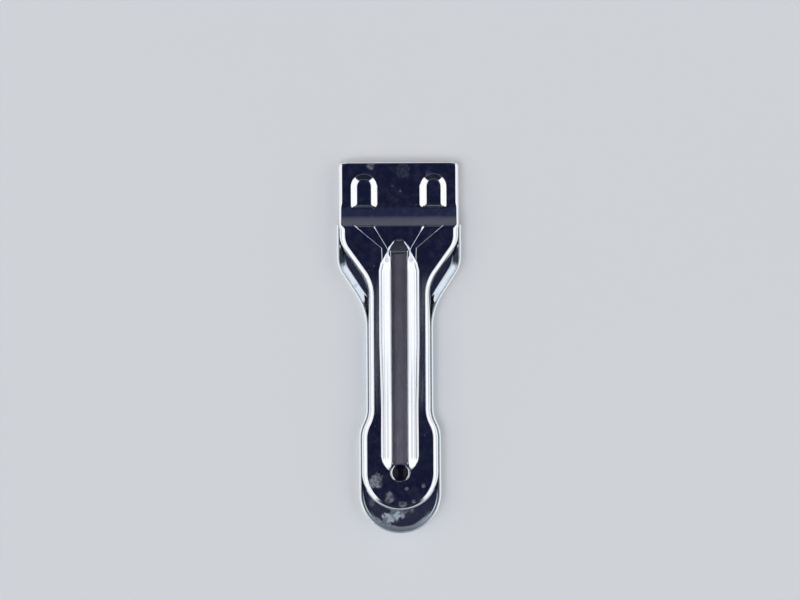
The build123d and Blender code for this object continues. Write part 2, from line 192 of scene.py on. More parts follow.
def edge_side(pieces, spot):
    """The outline's outward normal nearest to a place on the wall."""
    beyond_end = 0.02
    x, y = abs(spot[0]), spot[1]
    best, found = 1e9, (1.0, 0.0)
    for piece in pieces:
        if piece[0] == "run":
            _, a, b, normal = piece
            t = np.clip(((x - a[0]) * (b[0] - a[0]) + (y - a[1]) * (b[1] - a[1]))
                        / max((b - a) @ (b - a), 1e-9), 0, 1)
            near = a + t * (b - a)
            gap = hypot(x - near[0], y - near[1])
            if gap < best:
                best, found = gap, tuple(normal)
        else:
            _, centre, radius, first, last = piece
            flip = 1 if radius > 0 else -1
            angle = atan2(flip * (y - centre[1]), flip * (x - centre[0]))
            if min(first, last) - beyond_end <= angle <= max(first, last) + beyond_end:
                gap = abs(hypot(x - centre[0], y - centre[1]) - abs(radius))
                if gap < best:
                    best, found = gap, (cos(angle), sin(angle))
    sign = 1 if spot[0] >= 0 else -1
    return (sign * found[0], found[1])


def drawn_in(pieces, ys, inset):
    """For each row, the outline's point and normal, and how far out the line drawn in from it is."""
    stations = [edge_station(pieces, y, inset) for y in ys]
    edge = np.array([p for p, _ in stations])
    normal = np.array([n for _, n in stations])
    inner_x = edge[:, 0] - inset * normal[:, 0]
    inner_x[0] = 0
    return edge, normal, inner_x


def ring(edge, normal, inset, z):
    """One point in each row, drawn in from the outline and at a height."""
    spot = edge - inset[:, None] * normal
    return np.stack([spot[:, 0], spot[:, 1], z], axis=1)


def spans(*stretches):
    """Evenly spaced places through stretches, each given as its high end, low end and step."""
    found = []
    for high, low, step in stretches:
        count = max(1, int(np.ceil((high - low) / step)))
        found += list(np.linspace(high, low, count + 1)[:-1])
    return found


def merged(loose, fixed, nearest=0.12):
    """All fixed places, and the others that don't crowd them, from the handle's end forward."""
    kept = [y for y in loose if min(abs(y - f) for f in fixed) > nearest]
    return sorted(set(kept) | set(fixed))


# The form of the cover
def ramp(u, width):
    """Zero below nought and u above it, rounded over a width."""
    return (u + np.sqrt(u * u + width * width)) / 2


def higher(a, b, blend):
    """The higher of two surfaces with a small fillet where they meet."""
    h = np.maximum(blend - np.abs(a - b), 0) / blend
    return np.maximum(a, b) + h * h * blend / 4


def lower(a, b, blend):
    """The lower of two surfaces with a small rounding where they meet."""
    return -higher(-a, -b, blend)


def turned_aside(over, radius):
    """How far an arc has left its tangent after running on along it by a length."""
    return radius - np.sqrt(np.maximum(radius**2 - over**2, 0))


def plate_level(y):
    """The flat of the cover: the body, the step in two slopes, and the head."""
    rear_slope = (body_z - knee_z) / (knee_y - crest_y)
    front_slope = (knee_z - head_z) / (step_front_y - knee_y)
    return (
        body_z
        - rear_slope * ramp(y - crest_y, crest_bend)
        + (rear_slope - front_slope) * ramp(y - knee_y, knee_bend)
        + front_slope * ramp(y - step_front_y, step_bend)
    )


def along(y, stops, values):
    """Straight interpolation between values given at stops from the front to the rear."""
    return np.interp(y, stops[::-1], values[::-1])


def channel_level(x, y):
    """The raised channel on the head, all but gone on the step, and the fine rib behind it."""
    rib_places = (channel_lead_y, rib_start_y, rib_turn_y, rib_end_y)
    fade_places = (55.9, 55.3, 54.9, 54.5, 47.9, 47.1, 46.3, 44.8, rib_end_y)
    centre = along(y, rib_places, (13.5, 14.1, 5.65, 5.1))
    base = along(y, rib_places, (4.95, 3.95, 1.15, 1.5))
    top = along(y, rib_places, (2.95, 3.77, 0.98, 1.33))
    rise = along(y, fade_places, (1.3, 0.95, 0.4, 0.01, 0.01, 0.13, 0.1, 0.06, 0.06))
    low = plate_level(y)
    off = np.hypot(x - centre, np.maximum(y - channel_nose_y, 0))
    slope = rise / (base - top)
    flank = low + slope * (base - off)
    edge_share = 0.08
    level = lower(flank, low + rise, edge_share * rise)
    # Behind its end the rib sinks steeply below the flat
    sinking = 2.0
    return level - sinking * np.maximum(rib_end_y - y, 0)


def spine_level(x, y):
    """The ridge with its crowned flanges, its narrowing ramp in front, and its round tail."""
    across = np.where(y < spine_tail_y, np.hypot(x, y - spine_tail_y), x)
    stops = (spine_nose_y, 41.2, 39.4, 33.4, spine_full_y, spine_taper_y, spine_narrow_y)
    base = along(y, stops, (1.0, 2.1, 3.55, 6.6, 7.5, 7.5, 6.95))
    rise = spine_z - body_z
    crown = spine_z - crown_slope * ramp(across - slot_half, 0.3)
    # A bead runs along the foot of the flank, with a narrow flat above it
    bead = bead_rise * along(y, (36.5, 33.0, spine_tail_y, spine_tail_y - 3), (0.0, 1.0, 1.0, 0.0))
    start = base - bead_width * bead
    steep = along(y, (37.6, 33.4, spine_taper_y, spine_narrow_y), (3.0, 0.64, 0.64, 0.71))
    flank = body_z + bead + steep * (start - across)
    flank = flank + flute_depth * np.sin((across - 4.0) * 2 * pi / flute_pitch)
    foot = body_z + foot_slope * (base + 0.1 - across)
    flank = higher(flank, lower(foot, body_z + bead, 0.06), 0.06)
    nose = body_z + rise * (spine_nose_y - y) / spine_nose_run
    return lower(lower(crown, flank, 0.3), nose, 0.25)


def cover_level(x, y):
    """The cover's whole upper surface inside its rounded edge."""
    seam = along(y, (rib_start_y + 8, rib_start_y + 4), (0.08, 0.01))
    plain = higher(plate_level(y), channel_level(x, y), seam)
    return higher(plain, spine_level(x, y), 0.2)


def rounding_at(y):
    """The radius of the cover's top edge, tighter where the step runs out into it."""
    stops = (56.4, step_front_y, crest_y + 0.6, crest_y - 0.8)
    return along(y, stops, (head_rounding, step_rounding, step_rounding, body_rounding))


def corner_limit(x, half, front_y, radius):
    """How far forward a sheet with rounded front corners reaches at x."""
    over = np.clip(np.abs(x) - (half - radius), 0, radius)
    return front_y - turned_aside(over, radius)


def trimmed(x, y, half, front_y, radius, reach=3.0):
    """Draws the last few millimetres of a sheet back to its rounded front corners."""
    start = front_y - reach
    limit = corner_limit(x, half, front_y, radius)
    return np.where(y > start, start + (y - start) * (limit - start) / reach, y)


# Mesh helpers
def deselect():
    """Leaves edit mode and clears the selection."""
    if bpy.context.mode != "OBJECT":
        bpy.ops.object.mode_set(mode="OBJECT")
    bpy.ops.object.select_all(action="DESELECT")


def pick(piece):
    """Makes a piece the only one selected, and the active one."""
    deselect()
    piece.select_set(True)
    bpy.context.view_layer.objects.active = piece


def named(name):
    """The object just added, under its own name."""
    piece = bpy.context.object
    piece.name = name
    piece.data.name = name
    return piece


def settle(piece):
    """Puts a piece's place into its mesh, so that its object sits at the origin."""
    pick(piece)
    bpy.ops.object.transform_apply(location=True, rotation=True, scale=True)


def finish_modifier(piece, modifier):
    """Applies a modifier that is all set."""
    bpy.context.view_layer.objects.active = piece
    bpy.ops.object.modifier_apply(modifier=modifier.name)


def smooth(piece, angle):
    """Smooth shading, with hard edges where faces meet at more than an angle in degrees."""
    pick(piece)
    bpy.ops.object.shade_smooth_by_angle(angle=radians(angle))


def places(piece):
    """All vertex places of a piece in millimetres."""
    count = len(piece.data.vertices)
    co = np.zeros(count * 3)
    piece.data.vertices.foreach_get("co", co)
    return co.reshape(-1, 3) / MM


def place(piece, co):
    """Moves all vertices of a piece to places in millimetres."""
    piece.data.vertices.foreach_set("co", (np.asarray(co) * MM).ravel())
    piece.data.update()


def draw_through(profile, centre):
    """Extrudes what is selected through a profile of radii and heights about a centre."""
    for (radius, z), (next_radius, next_z) in zip(profile, profile[1:]):
        bpy.ops.mesh.extrude_region_move(
            TRANSFORM_OT_translate={"value": (0, 0, (next_z - z) * MM)}
        )
        scale = next_radius / radius
        bpy.ops.transform.resize(value=(scale, scale, 1), center_override=centre)


def mirrored(right):
    """Both halves of a sheet from its right one, and how far each face is from the middle."""
    left = right[:, :0:-1] * np.array((-1, 1, 1))
    points = np.concatenate([left, right], axis=1)
    half = right.shape[1] - 1
    index = np.abs(np.arange(2 * half) - half + 0.5) - 0.5
    return points, index


def drawn_sheet(name, points, open_faces):
    """A sheet with thickness, drawn over rows and columns of points, open where faces are marked.

    The number returned with it is that of the vertices on its drawn side, which come first.
    """
    rows, columns = points.shape[:2]
    deselect()
    bpy.ops.mesh.primitive_grid_add(
        x_subdivisions=columns - 1, y_subdivisions=rows - 1, size=2, location=(0, 0, 0)
    )
    piece = named(name)
    flat = places(piece) * MM
    column = np.rint((flat[:, 0] + 1) / 2 * (columns - 1)).astype(int)
    row = np.rint((flat[:, 1] + 1) / 2 * (rows - 1)).astype(int)
    corners = np.zeros(len(piece.data.polygons) * 4, int)
    piece.data.polygons.foreach_get("vertices", corners)
    corners = corners.reshape(-1, 4)
    cut = open_faces[row[corners].min(axis=1), column[corners].min(axis=1)]
    place(piece, points[row, column])
    bpy.ops.object.mode_set(mode="EDIT")
    bpy.ops.mesh.select_mode(type="FACE")
    bpy.ops.mesh.select_all(action="DESELECT")
    bpy.ops.object.mode_set(mode="OBJECT")
    piece.data.polygons.foreach_set("select", cut)
    bpy.ops.object.mode_set(mode="EDIT")
    bpy.ops.mesh.delete(type="FACE")
    bpy.ops.mesh.select_mode(type="VERT")
    bpy.ops.mesh.select_all(action="SELECT")
    bpy.ops.mesh.remove_doubles(threshold=2e-6)
    bpy.ops.mesh.delete_loose()
    bpy.ops.object.mode_set(mode="OBJECT")
    drawn_count = len(piece.data.vertices)
    wall = piece.modifiers.new("sheet", "SOLIDIFY")
    wall.thickness = sheet * MM
    wall.offset = -1
    wall.use_even_offset = True
    wall.use_quality_normals = True
    finish_modifier(piece, wall)
    return piece, drawn_count


def fill_between(values, counts):
    """Columns that divide each stretch between neighbouring values evenly, row by row."""
    parts = [values[:, :1]]
    for k, count in enumerate(counts):
        t = np.arange(1, count + 1) / count
        parts.append(values[:, k : k + 1] * (1 - t) + values[:, k + 1 : k + 2] * t)
    return np.concatenate(parts, axis=1)


# Cover
def cover_rows():
    """The places along the cover where its mesh has a row, from the handle's end forward."""
    fixed = [front, step_front_y, knee_y, crest_y, spine_nose_y, rib_turn_y, slot_front_y]
    fixed += [slot_front_y + e for e in edge_steps]
    for lip_front, lip_rear in (grip_lip, head_lip):
        fixed += [lip_front, lip_front + relief, lip_rear, lip_rear - relief]
    fixed += [front - e for e in front_steps]
    eye_start = asin((eye_y - slot_eye_y) / eye_radius)
    fixed += [eye_y - eye_radius * sin(a) for a in np.linspace(eye_start, pi / 2, 17)]
    fixed += [eye_y - eye_radius - e for e in edge_steps]
    inner_end = bulb_half - cover_inset
    end_start = asin((eye_radius + 0.7) / inner_end)
    fixed += [eye_y - inner_end * sin(a) for a in np.linspace(end_start, pi / 2, 22)]
    loose = spans(
        (front, 68.2, 0.6), (68.2, 62.6, 0.3), (62.6, 56, 0.6), (56, 42, 0.28),
        (42, slot_front_y, 0.2), (slot_front_y, 30, 0.25), (30, 18.5, 0.6), (18.5, -16.5, 2.0),
        (-16.5, -24, 1.2), (-24, -38, 0.5), (-38, spine_tail_y, 0.6),
        (spine_tail_y, slot_eye_y, 0.3),
    )
    return np.array(merged(loose, fixed))


def cover_columns(ys, near, inner_x):
    """Columns from the sheet's near edge outward, along the channel, the rib and the flank."""
    guide = (front, channel_lead_y, rib_start_y, rib_turn_y, slot_front_y, 34.8, rib_end_y,
             spine_full_y, spine_taper_y, spine_narrow_y)
    followed = (
        (8.55, 8.55, 10.15, 4.5, 3.95, 4.2, 4.0, 3.9, 3.9, 3.7),
        (10.55, 10.55, 10.33, 4.67, 4.52, 5.95, 6.15, 5.15, 5.15, 4.75),
        (16.45, 16.45, 17.87, 6.63, 6.6, 6.5, 6.4, 6.3, 6.3, 5.8),
        (18.45, 18.45, 18.05, 6.8, 6.8, 6.7, 6.6, 7.5, 7.5, 6.95),
    )
    lines = np.stack([along(ys, guide, line) for line in followed], axis=1)

    # Round the tail they take shares of the width instead
    tail_guide = (spine_tail_y, eye_y - (bulb_half - cover_inset))
    tail_shares = ((0.067, 0.15), (0.185, 0.35), (0.303, 0.55), (0.433, 0.75))
    share = np.stack([along(ys, tail_guide, ends) for ends in tail_shares], axis=1)
    width = (inner_x - near)[:, None]
    tail = ys < spine_tail_y
    lines = np.where(tail[:, None], near[:, None] + share * width, lines)

    # The rolled edge has columns of its own, closer where there is little room for them
    room = np.minimum(1, (lines[:, :1] - near[:, None]) / 0.6)
    rim = near[:, None] + np.array(edge_steps) * room
    values = np.concatenate([near[:, None], rim, lines, inner_x[:, None]], axis=1)
    return fill_between(values, (1, 1, 1, 1, 1, 5, 7, 9, 10, 12))


def cover_rings(ys, edge, normal, lipped):
    """The rounded edge, the wall, and the bend and flat of the lips below it."""

    def top_ring(inset, drop):
        level = plate_level(edge[:, 1] - inset * normal[:, 1])
        return ring(edge, normal, inset, level - drop)

    radius = rounding_at(edge[:, 1])
    zero = np.zeros(len(ys))
    rings = []
    for t in (1 / 3, 2 / 3, 1):
        rings.append(top_ring(cover_inset + (radius - cover_inset) * t, zero))
    for angle in np.linspace(pi / 2, 0, 10)[1:]:
        rings.append(top_ring(radius * (1 - cos(angle)), radius * (1 - sin(angle))))
    wall_top = plate_level(edge[:, 1]) - radius
    wall_end = rim_z + lip_bend
    rings.append(ring(edge, normal, zero, (wall_top + wall_end) / 2))
    rings.append(ring(edge, normal, zero, zero + wall_end))
    for angle in radians(90) * np.array((1, 2, 3)) / 3:
        inset = np.where(lipped, lip_bend * (1 - cos(angle)), 0)
        depth = np.where(lipped, sin(angle), angle / radians(90)) * lip_bend
        rings.append(ring(edge, normal, inset, wall_end - depth))
    lip_middle = 1.8
    for reach in (lip_middle, lip_reach):
        rings.append(ring(edge, normal, np.where(lipped, reach, 0), zero + rim_z))
    return np.stack(rings, axis=1)


def roll_cover_edges(piece, drawn_count):
    """Rolls the top edge of the slot, the eye and the front over."""
    co = places(piece)
    x, y = np.abs(co[:drawn_count, 0]), co[:drawn_count, 1]
    far = 99
    eye_gap = np.hypot(x, y - eye_y) - eye_radius
    slot_gap = np.hypot(np.maximum(x - slot_half, 0), np.maximum(y - slot_front_y, 0))
    slot_gap = np.where(y < slot_eye_y, far, slot_gap)
    stops = (slot_front_y, slot_front_y - 1, -44.0, slot_eye_y)
    radii = (slot_front_rounding, slot_rounding, slot_rounding, eye_rounding)
    roll = along(y, stops, radii)
    gap = np.clip(np.minimum(eye_gap, slot_gap), 0, roll)
    co[:drawn_count, 2] -= turned_aside(roll - gap, roll)

    # The front's roll widens at the corners, and leaves the walls below the top alone
    corner_start = 20.0
    lowest_top = head_z - 1.5
    deepest = 0.62
    ahead = corner_limit(x, head_half, front, front_corner) - y
    roll = front_rounding + corner_rounding * np.clip((x - corner_start) / front_corner, 0, 1)
    gap = np.where(co[:drawn_count, 2] > lowest_top, np.clip(ahead, 0, roll), roll)
    co[:drawn_count, 2] -= np.minimum(turned_aside(roll - gap, roll), deepest)
    place(piece, co)


def make_cover():
    """The upper pressing: its flats and forms, the slot with the eye, the wall and the lips."""
    pieces = outline(cover_corners, cover_radii)
    ys = cover_rows()
    edge, normal, inner_x = drawn_in(pieces, ys, cover_inset)

    # The near edge of the sheet: the slot's side, the eye's circle, the middle behind it
    chord = np.sqrt(np.maximum(eye_radius**2 - (ys - eye_y) ** 2, 0))
    near = np.where(ys > slot_eye_y - close, slot_half, chord)
    middle_columns = 16
    middle = np.linspace(0, 1, middle_columns + 1)[:-1][None, :] * near[:, None]
    flat_x = np.concatenate([middle, cover_columns(ys, near, inner_x)], axis=1)
    flat_y = np.repeat(ys[:, None], flat_x.shape[1], axis=1)
    flat = np.stack([flat_x, flat_y, cover_level(flat_x, flat_y)], axis=2)

    lipped = np.zeros(len(ys), bool)
    for lip_front, lip_rear in (grip_lip, head_lip):
        lipped |= (ys < lip_front + close) & (ys > lip_rear - close)
    right = np.concatenate([flat, cover_rings(ys, edge, normal, lipped)], axis=1)
    right[..., 1] = trimmed(right[..., 0], right[..., 1], head_half, front, front_corner)
    points, index = mirrored(right)

    # Open are the slot and eye, what lies between the lips, and a slit at each lip's ends
    half = right.shape[1] - 1
    slot_rows = ys[1:] < slot_front_y + close
    lip_flats = index >= half - 2
    lip_bends = index >= half - 5
    whole = lipped[:-1] & lipped[1:]
    slit = lipped[:-1] != lipped[1:]
    opened = slot_rows[:, None] & (index < middle_columns)[None, :]
    opened |= ~whole[:, None] & lip_flats[None, :]
    opened |= slit[:, None] & lip_bends[None, :]
    piece, drawn_count = drawn_sheet("cover_pressing", points, opened)
    roll_cover_edges(piece, drawn_count)
    smooth(piece, 45)
    return piece


# Tray
wall_front_y = 48.0
tongue_front_y = 60.65
tongue_half = 20.7
tongue_corner = 3.0
rivet_spots = [(-15.5, 43.0), (15.5, 43.0), (0.0, 28.0), (0.0, -10.0)]

# The shoulders' facet, as insets and heights from the floor up to the wall
facet = [
    (3.35, 0.7), (3.05, 0.78), (2.75, 0.92), (2.45, 1.1), (2.0, 1.37), (1.55, 1.64),
    (1.2, 1.85), (0.96, 2.0), (0.8, 2.12), (0.73, 2.25), (0.7, 2.6),
]
wall_levels = (3.9, 4.1, 4.25, 4.38, 4.48, 4.55, 4.585, tray_rim_z)


def round_tray_rim(piece, pieces, drawn_count):
    """Rounds the top of the wall, mostly on its outer side, and leans its inner side in."""
    inner_rounding, outer_rounding = 0.16, 0.68
    lean_start_z, lean_height, most_lean = 3.0, 1.2, 0.15
    co = places(piece)
    inside = np.arange(len(co)) < drawn_count
    rounding = np.where(inside, inner_rounding, outer_rounding)
    over = np.clip(co[:, 2] - (tray_rim_z - rounding), 0, rounding)
    leaning = most_lean * np.clip((co[:, 2] - lean_start_z) / lean_height, 0, 1)
    shift = turned_aside(over, rounding) - np.where(inside, leaning, 0)
    sides = np.array([edge_side(pieces, p) if s else (0, 0) for p, s in zip(co, shift)])
    shift[drawn_count:] *= -1
    co[:, :2] += sides * shift[:, None]
    place(piece, co)


def cut_rivet_holes(piece):
    """Countersunk holes through the tray's floor, where its four rivets are closed."""
    for x, y in rivet_spots:
        deselect()
        bpy.ops.mesh.primitive_cone_add(
            vertices=40, radius1=2.3 * MM, radius2=1.5 * MM, depth=0.8 * MM,
            location=(x * MM, y * MM, sheet / 2 * MM),
        )
        cutter = bpy.context.object
        hole = piece.modifiers.new("hole", "BOOLEAN")
        hole.operation = "DIFFERENCE"
        hole.object = cutter
        hole.solver = "EXACT"
        finish_modifier(piece, hole)
        bpy.data.objects.remove(cutter)


def make_tray():
    """The lower pressing: a pan with a tongue in front and a wall round all the rest."""
    pieces = outline(tray_corners, tray_radii)
    end_radius = tray_end_half - tray_inset
    fixed = [tongue_front_y, wall_front_y]
    fixed += [tray_end_y - end_radius * sin(a) for a in np.linspace(0.05, pi / 2, 30)]
    loose = spans(
        (tongue_front_y, wall_front_y, 0.7), (wall_front_y, 32, 0.8), (32, 4, 0.45),
        (4, -22, 2.0), (-22, -38, 0.6), (-38, tray_end_y, 0.9),
    )
    ys = np.array(merged(loose, fixed))
    edge, normal, inner_x = drawn_in(pieces, ys, tray_inset)
    t = np.linspace(0, 1, 23)
    flat_x = inner_x[:, None] * t[None, :]
    flat_y = np.repeat(ys[:, None], len(t), axis=1)
    flat = np.stack([flat_x, flat_y, np.full_like(flat_x, floor_z)], axis=2)

    # At the shoulders the bend opens out into a sloping facet
    bend = along(edge[:, 1], (-38.0, -50.0), (2.0, 1.0))
    faceted = along(edge[:, 1], (46.0, 41.0, 12.0, 7.0), (0.0, 1.0, 1.0, 0.0))
    start = sheet + bend + faceted * (facet[0][0] - sheet - bend)
    rings = [ring(edge, normal, (tray_inset + start) / 2, floor_z + 0 * start)]
    for angle, (facet_inset, facet_z) in zip(np.linspace(0, pi / 2, len(facet)), facet):
        inset = sheet + bend * (1 - sin(angle))
        z = floor_z + bend * (1 - cos(angle))
        inset = inset + faceted * (facet_inset - inset)
        rings.append(ring(edge, normal, inset, z + faceted * (facet_z - z)))
    for z in wall_levels:
        rings.append(ring(edge, normal, np.full(len(ys), sheet), np.full(len(ys), z)))

    right = np.concatenate([flat, np.stack(rings, axis=1)], axis=1)
    right[..., 1] = np.where(
        right[..., 0] <= tongue_half + 0.01,
        trimmed(right[..., 0], right[..., 1], tongue_half, tongue_front_y, tongue_corner, 4.0),
        right[..., 1],
    )
    points, index = mirrored(right)
    opened = (ys[:-1] > wall_front_y - close)[:, None] & (index >= len(t) - 1)[None, :]
    piece, drawn_count = drawn_sheet("tray_pressing", points, opened)
    round_tray_rim(piece, pieces, drawn_count)
    cut_rivet_holes(piece)
    smooth(piece, 45)
    return piece


# Lock bar and button
bar_z = 4.978
bar_sheet = 0.6
bar_foot_z = 3.778
bar_half = 4.0
bar_front_y = 42.5
bar_rear_y = -52.25
bar_tail = 3.65
bar_rise_y = 38.5
bar_rise_run = 1.9
bar_fine_y = 34.0
collar_radius = 3.5
collar_low = 5.5
collar_high = 7.178
drum_radius = 2.9
drum_low = 5.578
drum_high = 8.578
dome_rise = 0.9
eye_centre = (0, eye_y * MM, 0)


def make_strip():
    """The lock bar's strip: a flat foot, a soft S up to its length, and a round tail."""
    tail_y = bar_rear_y + bar_tail
    rows = np.concatenate([
        np.linspace(bar_rear_y, tail_y, 25)[:-1],
        np.linspace(tail_y, bar_fine_y, 65)[:-1],
        np.linspace(bar_fine_y, bar_front_y, 33),
    ])
    deselect()
    bpy.ops.mesh.primitive_grid_add(x_subdivisions=12, y_subdivisions=len(rows) - 1, size=2)
    bar = named("lock_bar_spring")
    co = places(bar) * MM
    across, t = co[:, 0], (co[:, 1] + 1) / 2
    y = rows[np.rint(t * (len(rows) - 1)).astype(int)]
    behind = np.clip(tail_y - y, 0, bar_tail)
    half = bar_half - turned_aside(behind, bar_tail)
    s = np.clip((bar_rise_y - y) / bar_rise_run, 0, 1)
    bottom = bar_foot_z + (bar_z - bar_foot_z) * s * s * (3 - 2 * s)
    place(bar, np.stack([across * half, y, bottom + bar_sheet], axis=1))
    wall = bar.modifiers.new("sheet", "SOLIDIFY")
    wall.thickness = bar_sheet * MM
    wall.offset = -1
    finish_modifier(bar, wall)
    edges = bar.modifiers.new("edges", "BEVEL")
    edges.width = 0.12 * MM
    edges.segments = 2
    edges.limit_method = "ANGLE"
    edges.angle_limit = radians(60)
    finish_modifier(bar, edges)
    return bar


def make_collar():
    """The ring round the button: a thin wall with a rolled lip on top."""
    deselect()
    bpy.ops.mesh.primitive_circle_add(
        vertices=72, radius=collar_radius * MM, location=(0, eye_y * MM, collar_low * MM)
    )
    collar = named("collar")
    settle(collar)
    bpy.ops.object.mode_set(mode="EDIT")
    bpy.ops.mesh.select_mode(type="EDGE")
    bpy.ops.mesh.select_all(action="SELECT")
    lip = [
        (collar_radius, -0.12), (3.48, -0.09), (3.42, -0.05), (3.16, -0.015), (3.08, 0.0),
        (2.98, -0.01), (2.95, -0.08),
    ]
    profile = [(collar_radius, collar_low)]
    profile += [(radius, collar_high + up) for radius, up in lip]
    profile += [(lip[-1][0], collar_low)]
    draw_through(profile, eye_centre)
    bpy.ops.mesh.select_all(action="SELECT")
    bpy.ops.mesh.region_to_loop()
    bpy.ops.mesh.bridge_edge_loops()
    bpy.ops.mesh.select_all(action="SELECT")
    bpy.ops.mesh.normals_make_consistent(inside=False)
    bpy.ops.object.mode_set(mode="OBJECT")
    return collar


def make_lock_bar():
    """The leaf spring and the collar that stands on it."""
    bar = make_strip()
    collar = make_collar()
    pick(bar)
    collar.select_set(True)
    bpy.ops.object.join()
    smooth(bar, 50)
    return bar


def make_button():
    """The thumb button: a drum with a dome on top, and a clinched stem below."""
    dome_radius = (drum_radius**2 + dome_rise**2) / (2 * dome_rise)
    deselect()
    bpy.ops.mesh.primitive_cylinder_add(
        vertices=72, radius=drum_radius * MM, depth=(drum_high - drum_low) * MM,
        location=(0, eye_y * MM, (drum_high + drum_low) / 2 * MM), end_fill_type="NGON",
    )
    button = named("lock_button_dome")
    settle(button)

    def select_end(z):
        bpy.ops.object.mode_set(mode="EDIT")
        bpy.ops.mesh.select_mode(type="FACE")
        bpy.ops.mesh.select_all(action="DESELECT")
        bpy.ops.object.mode_set(mode="OBJECT")
        for face in button.data.polygons:
            face.select = abs(face.center.z - z * MM) < close and len(face.vertices) > 4
        bpy.ops.object.mode_set(mode="EDIT")

    soft = [(2.89, 8.61), (2.86, 8.64), (2.8, 8.665)]
    dome = [(r, drum_high - dome_radius + dome_rise + sqrt(dome_radius**2 - r * r))
            for r in (2.6, 2.3, 1.9, 1.5, 1.1, 0.75, 0.4, 0.15)]
    stem = [(1.5, drum_low), (1.5, bar_z), (2.2, bar_z), (2.2, 4.65), (2.1, 4.578)]
    select_end(drum_high)
    draw_through([(drum_radius, drum_high)] + soft + dome, eye_centre)
    select_end(drum_low)
    draw_through([(drum_radius, drum_low)] + stem, eye_centre)
    bpy.ops.mesh.select_all(action="SELECT")
    bpy.ops.mesh.normals_make_consistent(inside=False)
    bpy.ops.object.mode_set(mode="OBJECT")
    smooth(button, 50)
    return button


# Materials
class Nodes:
    """A shader tree under construction, with short calls for the nodes that it needs."""

    def __init__(self, tree):
        self.tree = tree

    def node(self, kind, **settings):
        made = self.tree.nodes.new(kind)
        for key, value in settings.items():
            setattr(made, key, value)
        return made

    def link(self, source, target):
        self.tree.links.new(source, target)

    def between(self, value, low, high, out_low=0.0, out_high=1.0, soft=True):
        ranged = self.node(
            "ShaderNodeMapRange", interpolation_type="SMOOTHSTEP" if soft else "LINEAR"
        )
        self.link(value, ranged.inputs["Value"])
        ranged.inputs["From Min"].default_value = low
        ranged.inputs["From Max"].default_value = high
        ranged.inputs["To Min"].default_value = out_low
        ranged.inputs["To Max"].default_value = out_high
        return ranged.outputs["Result"]

    def math(self, operation, a, b=None):
        made = self.node("ShaderNodeMath", operation=operation)
        for socket, value in zip(made.inputs, (a, b)):
            if value is None:
                continue
            if isinstance(value, (int, float)):
                socket.default_value = value
            else:
                self.link(value, socket)
        return made.outputs["Value"]

    def mix(self, share, a, b):
        made = self.node("ShaderNodeMix", data_type="RGBA")
        self.link(share, made.inputs["Factor"])
        for socket, value in ((made.inputs[6], a), (made.inputs[7], b)):
            if isinstance(value, tuple):
                socket.default_value = (*value, 1)
            else:
                self.link(value, socket)
        return made.outputs[2]


class Finish(Nodes):
    """A material under construction: a Principled shader and the nodes that feed it."""

    def __init__(self, name, color, metallic, roughness):
        self.material = bpy.data.materials.new(name)
        self.material.use_nodes = True
        super().__init__(self.material.node_tree)
        self.shader = self.tree.nodes["Principled BSDF"]
        self.shader.inputs["Base Color"].default_value = (*color, 1)
        self.shader.inputs["Metallic"].default_value = metallic
        self.shader.inputs["Roughness"].default_value = roughness
        self.where = self.node("ShaderNodeTexCoord").outputs["Object"]

    def feed(self, source, socket):
        self.link(source, self.shader.inputs[socket])

    def at(self, scale=(1000, 1000, 1000), shift=(0, 0, 0), turn=0.0):
        """Object coordinates in millimetres, stretched, shifted and turned."""
        mapping = self.node("ShaderNodeMapping")
        self.link(self.where, mapping.inputs["Vector"])
        mapping.inputs["Scale"].default_value = scale
        mapping.inputs["Location"].default_value = shift
        mapping.inputs["Rotation"].default_value = (0, 0, turn)
        return mapping.outputs["Vector"]

    def along_y(self):
        """The place along Y in millimetres."""
        part = self.node("ShaderNodeSeparateXYZ")
        self.link(self.at(), part.inputs["Vector"])
        return part.outputs["Y"]

    def away_from(self, x, y):
        """The distance from a place in millimetres, as seen from above."""
        gap = self.node("ShaderNodeVectorMath", operation="LENGTH")
        self.link(self.at((1000, 1000, 0), (-x, -y, 0)), gap.inputs[0])
        return gap.outputs["Value"]

    def noise(self, vector, scale, detail=4.0, rough=0.6):
        texture = self.node("ShaderNodeTexNoise")
        self.link(vector, texture.inputs["Vector"])
        texture.inputs["Scale"].default_value = scale
        texture.inputs["Detail"].default_value = detail
        texture.inputs["Roughness"].default_value = rough
        return texture.outputs["Fac"]

    def dots(self, vector, scale):
        """The distance from the nearest of many scattered points, and that point's colour."""
        texture = self.node("ShaderNodeTexVoronoi")
        self.link(vector, texture.inputs["Vector"])
        texture.inputs["Scale"].default_value = scale
        texture.inputs["Randomness"].default_value = 1.0
        return texture.outputs["Distance"], texture.outputs["Color"]

    def bump(self, height, distance, strength=1.0, normal=None):
        made = self.node("ShaderNodeBump")
        self.link(height, made.inputs["Height"])
        made.inputs["Distance"].default_value = distance
        made.inputs["Strength"].default_value = strength
        if normal is not None:
            self.link(normal, made.inputs["Normal"])
        return made.outputs["Normal"]

    def spot(self, x, y, radius, wobble):
        """One inside an uneven patch of the surface, fading out to its radius, from above."""
        unevenness = 3.2
        edge = self.math("MULTIPLY", self.math("SUBTRACT", wobble, 0.5), unevenness * radius)
        uneven = self.math("ADD", self.away_from(x, y), edge)
        return self.between(uneven, radius * 1.12, radius * 0.55)


def hairlines(f, mm):
    """Fine scratches in two directions, here and there."""
    one_way = f.noise(f.at((9000, 350, 1000), turn=0.35), 1.0, 3, 0.5)
    other_way = f.noise(f.at((7000, 300, 1000), turn=-0.6), 1.0, 3, 0.5)
    lines = f.between(f.math("MAXIMUM", one_way, other_way), 0.66, 0.78)
    return f.math("MULTIPLY", lines, f.between(f.noise(mm, 0.12, 2), 0.5, 0.62))


